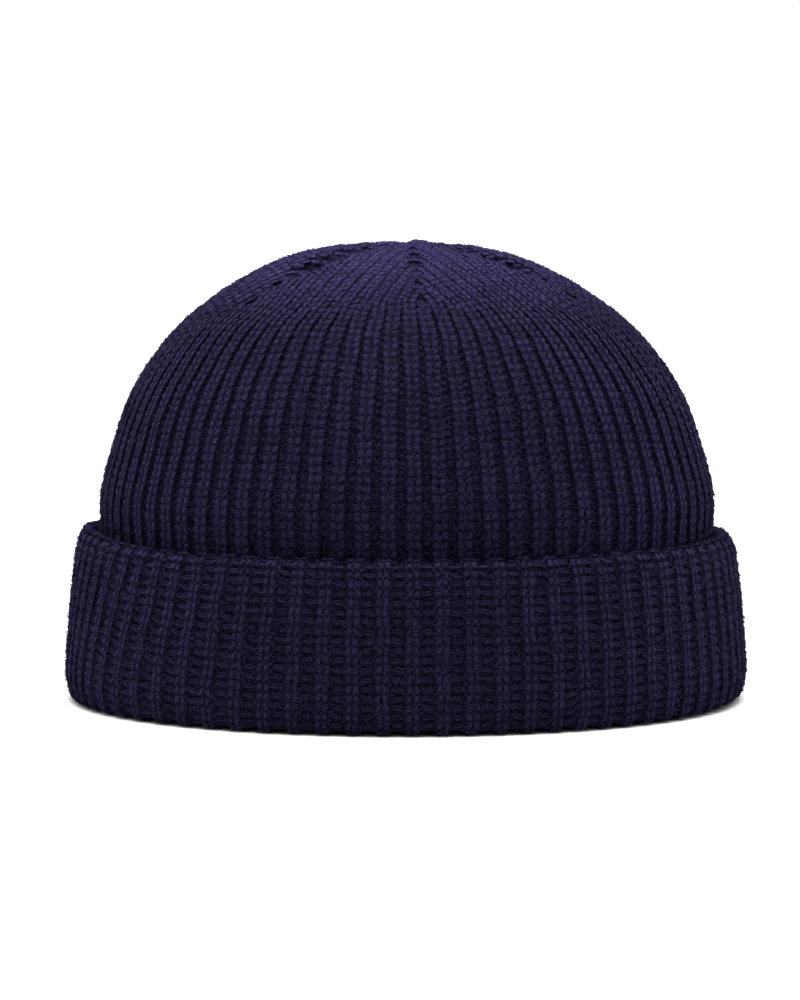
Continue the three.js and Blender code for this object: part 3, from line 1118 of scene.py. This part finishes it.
class BEANIE_OT_crown_stitches(bpy.types.Operator):
    """Knits the crown's ribs, two gores to a piece"""

    bl_idname = "beanie.crown_stitches"
    bl_label = "Crown stitches"

    def execute(self, context):
        sizes = millimetres(context.scene.beanie_crown)
        look = context.scene.beanie_yarn
        material = yarn_material("crown_yarn", look, look.crown_tint)
        groups = {"crown_ribs_right": (0, 1), "crown_ribs_back": (2, 3), "crown_ribs_left": (4, 5)}
        for seed, (name, gores) in enumerate(groups.items(), CROWN_RIBS_SEED):
            rows = []
            for gore in gores:
                for half in RIB_HALVES:
                    row = crown_row(gore, half / 2, sizes, -sizes.proud, STITCH_GAP, STITCHES_END)
                    rows.append(wander(row, CROWN_RIBS_WANDER + gore * 100 + half, sizes.wander, STITCH_SLIP))
            knit_piece(name, "crown_knit", rows, sizes, stitch_shape(sizes), material, seed, STITCH_JITTER)
        return {"FINISHED"}


class BEANIE_OT_crown_rungs(bpy.types.Operator):
    """Lays the purl rungs in the crown's valleys"""

    bl_idname = "beanie.crown_rungs"
    bl_label = "Crown rungs"

    def execute(self, context):
        sizes = millimetres(context.scene.beanie_crown)
        look = context.scene.beanie_yarn
        rows = []
        for gore in range(len(DARTS)):
            for rib in range(-(RIBS_IN_GORE // 2), RIBS_IN_GORE // 2 + 1):
                row = crown_row(gore, rib, sizes, sizes.rung_sink, RUNG_GAP, RUNGS_END)
                rows.append(wander(row, CROWN_RUNGS_WANDER + gore * 20 + rib, CROWN_RUNG_SWAY, RUNG_SLIP))
        shape = purl_shape(sizes, CROWN_RUNG_SPAN)
        # Painted shade: the rungs' yarn is coloured darker in the crown's valleys
        shade = look.crown_valley_shade
        material = yarn_material("crown_rung_yarn", look, look.crown_tint, shade, *RUNG_LOOK)
        draws = (CROWN_RUNGS_SEED, CROWN_RUNG_JITTER)
        knit_piece("crown_rungs", "crown_knit", rows, sizes, shape, material, *draws, 1.0)
        return {"FINISHED"}


class BEANIE_OT_gather(bpy.types.Operator):
    """Draws the last loops together over the crown's apex"""

    bl_idname = "beanie.gather"
    bl_label = "Gather"

    def execute(self, context):
        look = context.scene.beanie_yarn
        tubes = []
        for k in range(GATHER_LOOPS):
            bearing = np.full(len(LOOP_ALONG), 360 * (k + 0.5) / GATHER_LOOPS)
            depth = LOOP_DEPTH + LOOP_WAVE[0] * math.sin(LOOP_WAVE[1] * k)
            line = crown_point(bearing, LOOP_ALONG, depth) + np.array([GATHER_AHEAD, 0, 0])
            tubes.append(tube(line, LOOP_SWELL, LOOP_SWELL, LOOP_SIDES))
        piece = yarn_mesh("crown_gather", tubes)
        piece.data.materials.append(yarn_material("crown_gather_yarn", look, look.crown_tint))
        declare(piece, "crown_knit")
        return {"FINISHED"}


class BEANIE_OT_cuff_wall(bpy.types.Operator):
    """Builds the cuff's wall, the knit behind its stitches"""

    bl_idname = "beanie.cuff_wall"
    bl_label = "Cuff wall"

    def execute(self, context):
        sizes = millimetres(context.scene.beanie_cuff)
        look = context.scene.beanie_yarn
        ribs = (np.arange(RIBS)[:, None] + ACROSS_RIB).ravel()
        phase = np.abs(ribs - np.round(ribs))
        valley = fade(phase, *CUFF_VALLEY)
        relief = [point.relief for point in CUFF_LINE]
        knots = np.linspace(0, 1, len(CUFF_LINE))
        share_line = np.interp(np.linspace(0, 1, len(CUFF_ARC)), knots, relief)
        rings = []
        course_phase = []
        for arc in np.linspace(0, CUFF_ARC[-1], CUFF_RINGS):
            share = np.interp(arc, CUFF_ARC, share_line)
            level = np.full(len(ribs), arc)
            depth = WALL_SINK + sizes.valley_depth * share * valley
            depth = depth + sizes.proud + cuff_sink(level, sizes.proud)
            rings.append(cuff_point(cuff_bearing(ribs, level), level, depth))
            course_phase.append(-level / sizes.course)
        for point in CUFF_BACK:
            height = np.full(len(ribs), point.height)
            bearings = cuff_bearing(ribs, TWIST_FADE[1] * (1 - height / CUFF_BACK[-1].height))
            rings.append(cuff_place(bearings, np.full(len(ribs), point.radius), height))
            course_phase.append(0 * height)
        wall = ring_mesh("cuff_wall", rings, [phase] * len(rings), course_phase, True)
        wall.data.materials.append(wall_material("cuff_wall_knit", look, look.cuff_tint, CUFF_WALL_SHADE))
        declare(wall, "cuff_knit", "cuff")
        return {"FINISHED"}


class BEANIE_OT_cuff_stitches(bpy.types.Operator):
    """Knits the cuff's ribs over the lip and round the rim's fold, half a cuff to a piece"""

    bl_idname = "beanie.cuff_stitches"
    bl_label = "Cuff stitches"

    def execute(self, context):
        sizes = millimetres(context.scene.beanie_cuff)
        look = context.scene.beanie_yarn
        material = yarn_material("cuff_yarn", look, look.cuff_tint)
        drift = course_drift(CUFF_RIBS_DRIFT)
        for half, name in enumerate(("cuff_ribs_right", "cuff_ribs_left")):
            rows = []
            for rib in range(half * RIBS // 2, (half + 1) * RIBS // 2):
                row = cuff_row(rib, sizes, 0.0, 0.5 + drift[rib])
                rows.append(wander(row, CUFF_RIBS_WANDER + rib, sizes.wander, STITCH_SLIP))
            draws = (CUFF_RIBS_SEED + half, STITCH_JITTER)
            knit_piece(name, "cuff_knit", rows, sizes, stitch_shape(sizes), material, *draws)
        return {"FINISHED"}


class BEANIE_OT_cuff_rungs(bpy.types.Operator):
    """Lays the purl rungs in the cuff's valleys"""

    bl_idname = "beanie.cuff_rungs"
    bl_label = "Cuff rungs"

    def execute(self, context):
        sizes = millimetres(context.scene.beanie_cuff)
        look = context.scene.beanie_yarn
        drift = course_drift(CUFF_RUNGS_DRIFT)
        rows = []
        for rib in range(RIBS):
            row = cuff_row(rib + 0.5, sizes, sizes.rung_sink, 0.5 + drift[rib])
            rows.append(wander(row, CUFF_RUNGS_WANDER + rib, CUFF_RUNG_SWAY, RUNG_SLIP))
        shape = purl_shape(sizes, CUFF_RUNG_SPAN)
        # Painted shade: the rungs' yarn is coloured darker in the cuff's valleys
        shade = look.cuff_valley_shade
        material = yarn_material("cuff_rung_yarn", look, look.cuff_tint, shade, *RUNG_LOOK)
        draws = (CUFF_RUNGS_SEED, CUFF_RUNG_JITTER)
        knit_piece("cuff_rungs", "cuff_knit", rows, sizes, shape, material, *draws, 1.0)
        return {"FINISHED"}


class BEANIE_OT_fuzz(bpy.types.Operator):
    """Scatters short stray fibres over the crown and the cuff"""

    bl_idname = "beanie.fuzz"
    bl_label = "Fuzz"

    def execute(self, context):
        look = context.scene.beanie_yarn
        crown = millimetres(context.scene.beanie_crown)
        cuff = millimetres(context.scene.beanie_cuff)
        crown_rows = []
        for gore in range(len(DARTS)):
            for half in RIB_HALVES:
                row = crown_row(gore, half / 2, crown, -crown.proud, STITCH_GAP, FUZZ_END)
                crown_rows.append(row)
        cuff_rows = joined([cuff_row(rib, cuff, 0.0, 0.5) for rib in range(RIBS)])
        outside = cuff_rows["travel"] < TWIST_FADE[1]
        cuff_rows = {key: values[outside] for key, values in cuff_rows.items()}
        parts = (
            ("crown", joined(crown_rows), crown, look.crown_tint, look.crown_fibres),
            ("cuff", cuff_rows, cuff, look.cuff_tint, look.cuff_fibres),
        )
        kinds = (
            ("fuzz", 1 - look.flyaway_share, look.fuzz_length / MM, look.fuzz_thickness / MM),
            ("flyaway", look.flyaway_share, look.flyaway_length / MM, look.flyaway_thickness / MM),
        )
        seed = FIBRES_SEED
        for part, rows, sizes, tint, fibres in parts:
            material = fuzz_material(part + "_fibre", look, tint)
            for kind, share, reach, thickness in kinds:
                roots, size = fuzz_rows(rows, int(fibres * share), seed, sizes, reach)
                shape = fibre_shape(reach, thickness)
                piece = knit(part + "_" + kind, roots, size, shape, material, seed, *FIBRE_JITTER)
                declare(piece, part + "_knit")
                seed += 1
        return {"FINISHED"}


def plain_room(sizes):
    """Plain white surroundings, lighter or darker overhead than on the horizon."""
    world = bpy.data.worlds.new("plain_room")
    world.use_nodes = True
    tree = world.node_tree
    back = tree.nodes["Background"]
    rise = rising(tree, "Generated", *HORIZON_FADE, sizes.backdrop_light, sizes.room_light)
    tree.links.new(rise, back.inputs["Strength"])
    back.inputs["Color"].default_value = (1, 1, 1, 1)
    return world


class BEANIE_OT_studio(bpy.types.Operator):
    """Sets up the floor, the soft light and the camera"""

    bl_idname = "beanie.studio"
    bl_label = "Studio"

    def execute(self, context):
        sizes = context.scene.beanie_studio
        half = sizes.floor_size / 2
        corners = [(-half, -half, 0), (half, -half, 0), (half, half, 0), (-half, half, 0)]
        mesh = bpy.data.meshes.new("floor")
        mesh.from_pydata(corners, [], [(0, 1, 2, 3)])
        floor = new_object("floor", mesh)
        paint = bpy.data.materials.new("floor_paint")
        paint.use_nodes = True
        shader = paint.node_tree.nodes["Principled BSDF"]
        shader.inputs["Base Color"].default_value = (*sizes.floor_colour, 1)
        shader.inputs["Roughness"].default_value = FLOOR_ROUGHNESS
        shader.inputs["Specular IOR Level"].default_value = 0.0
        mesh.materials.append(paint)

        light = bpy.data.lights.new("overhead_light", "SUN")
        light.energy = sizes.overhead_light
        light.angle = sizes.overhead_breadth
        overhead = new_object("overhead_light", light)
        overhead.location = (0, 0, 2)
        overhead.rotation_euler = (-sizes.overhead_tilt, 0, 0)
        context.scene.world = plain_room(sizes)

        data = bpy.data.cameras.new("camera")
        data.sensor_width = SENSOR_WIDTH
        data.lens = sizes.camera_lens
        data.clip_end = FARTHEST
        camera = new_object("camera", data)
        camera.location = (sizes.camera_shift, -sizes.camera_distance, sizes.camera_height)
        camera.rotation_euler = (math.pi / 2 - sizes.camera_pitch, 0, 0)
        context.scene.camera = camera
        view = context.scene.view_settings
        view.view_transform = "Standard"
        view.look = "None"
        view.gamma = sizes.contrast
        return {"FINISHED"}


class BEANIE_PT_panel(bpy.types.Panel):
    """Lists the cap's pieces in the order they are made"""

    bl_idname = "BEANIE_PT_panel"
    bl_label = "Ribbed beanie"
    bl_space_type = "VIEW_3D"
    bl_region_type = "UI"
    bl_category = "Beanie"

    def draw(self, context):
        for group in SETTINGS:
            box = self.layout.box()
            box.label(text=group.__doc__)
            values = getattr(context.scene, SETTINGS[group])
            for key in values.__annotations__:
                box.prop(values, key)
        for operator in OPERATORS:
            self.layout.operator(operator.bl_idname)


SETTINGS = {
    CrownSizes: "beanie_crown",
    CuffSizes: "beanie_cuff",
    YarnLook: "beanie_yarn",
    StudioSizes: "beanie_studio",
}
OPERATORS = (
    BEANIE_OT_crown_wall,
    BEANIE_OT_crown_stitches,
    BEANIE_OT_crown_rungs,
    BEANIE_OT_gather,
    BEANIE_OT_cuff_wall,
    BEANIE_OT_cuff_stitches,
    BEANIE_OT_cuff_rungs,
    BEANIE_OT_fuzz,
    BEANIE_OT_studio,
)


def register():
    for group, label in SETTINGS.items():
        bpy.utils.register_class(group)
        setattr(bpy.types.Scene, label, bpy.props.PointerProperty(type=group))
    for operator in OPERATORS:
        bpy.utils.register_class(operator)
    bpy.utils.register_class(BEANIE_PT_panel)


def unregister():
    bpy.utils.unregister_class(BEANIE_PT_panel)
    for operator in reversed(OPERATORS):
        bpy.utils.unregister_class(operator)
    for group, label in reversed(SETTINGS.items()):
        delattr(bpy.types.Scene, label)
        bpy.utils.unregister_class(group)


def main():
    register()
    bpy.ops.beanie.crown_wall()
    bpy.ops.beanie.crown_stitches()
    bpy.ops.beanie.crown_rungs()
    bpy.ops.beanie.gather()
    bpy.ops.beanie.cuff_wall()
    bpy.ops.beanie.cuff_stitches()
    bpy.ops.beanie.cuff_rungs()
    bpy.ops.beanie.fuzz()
    bpy.ops.beanie.studio()


if __name__ == "__main__":
    main()
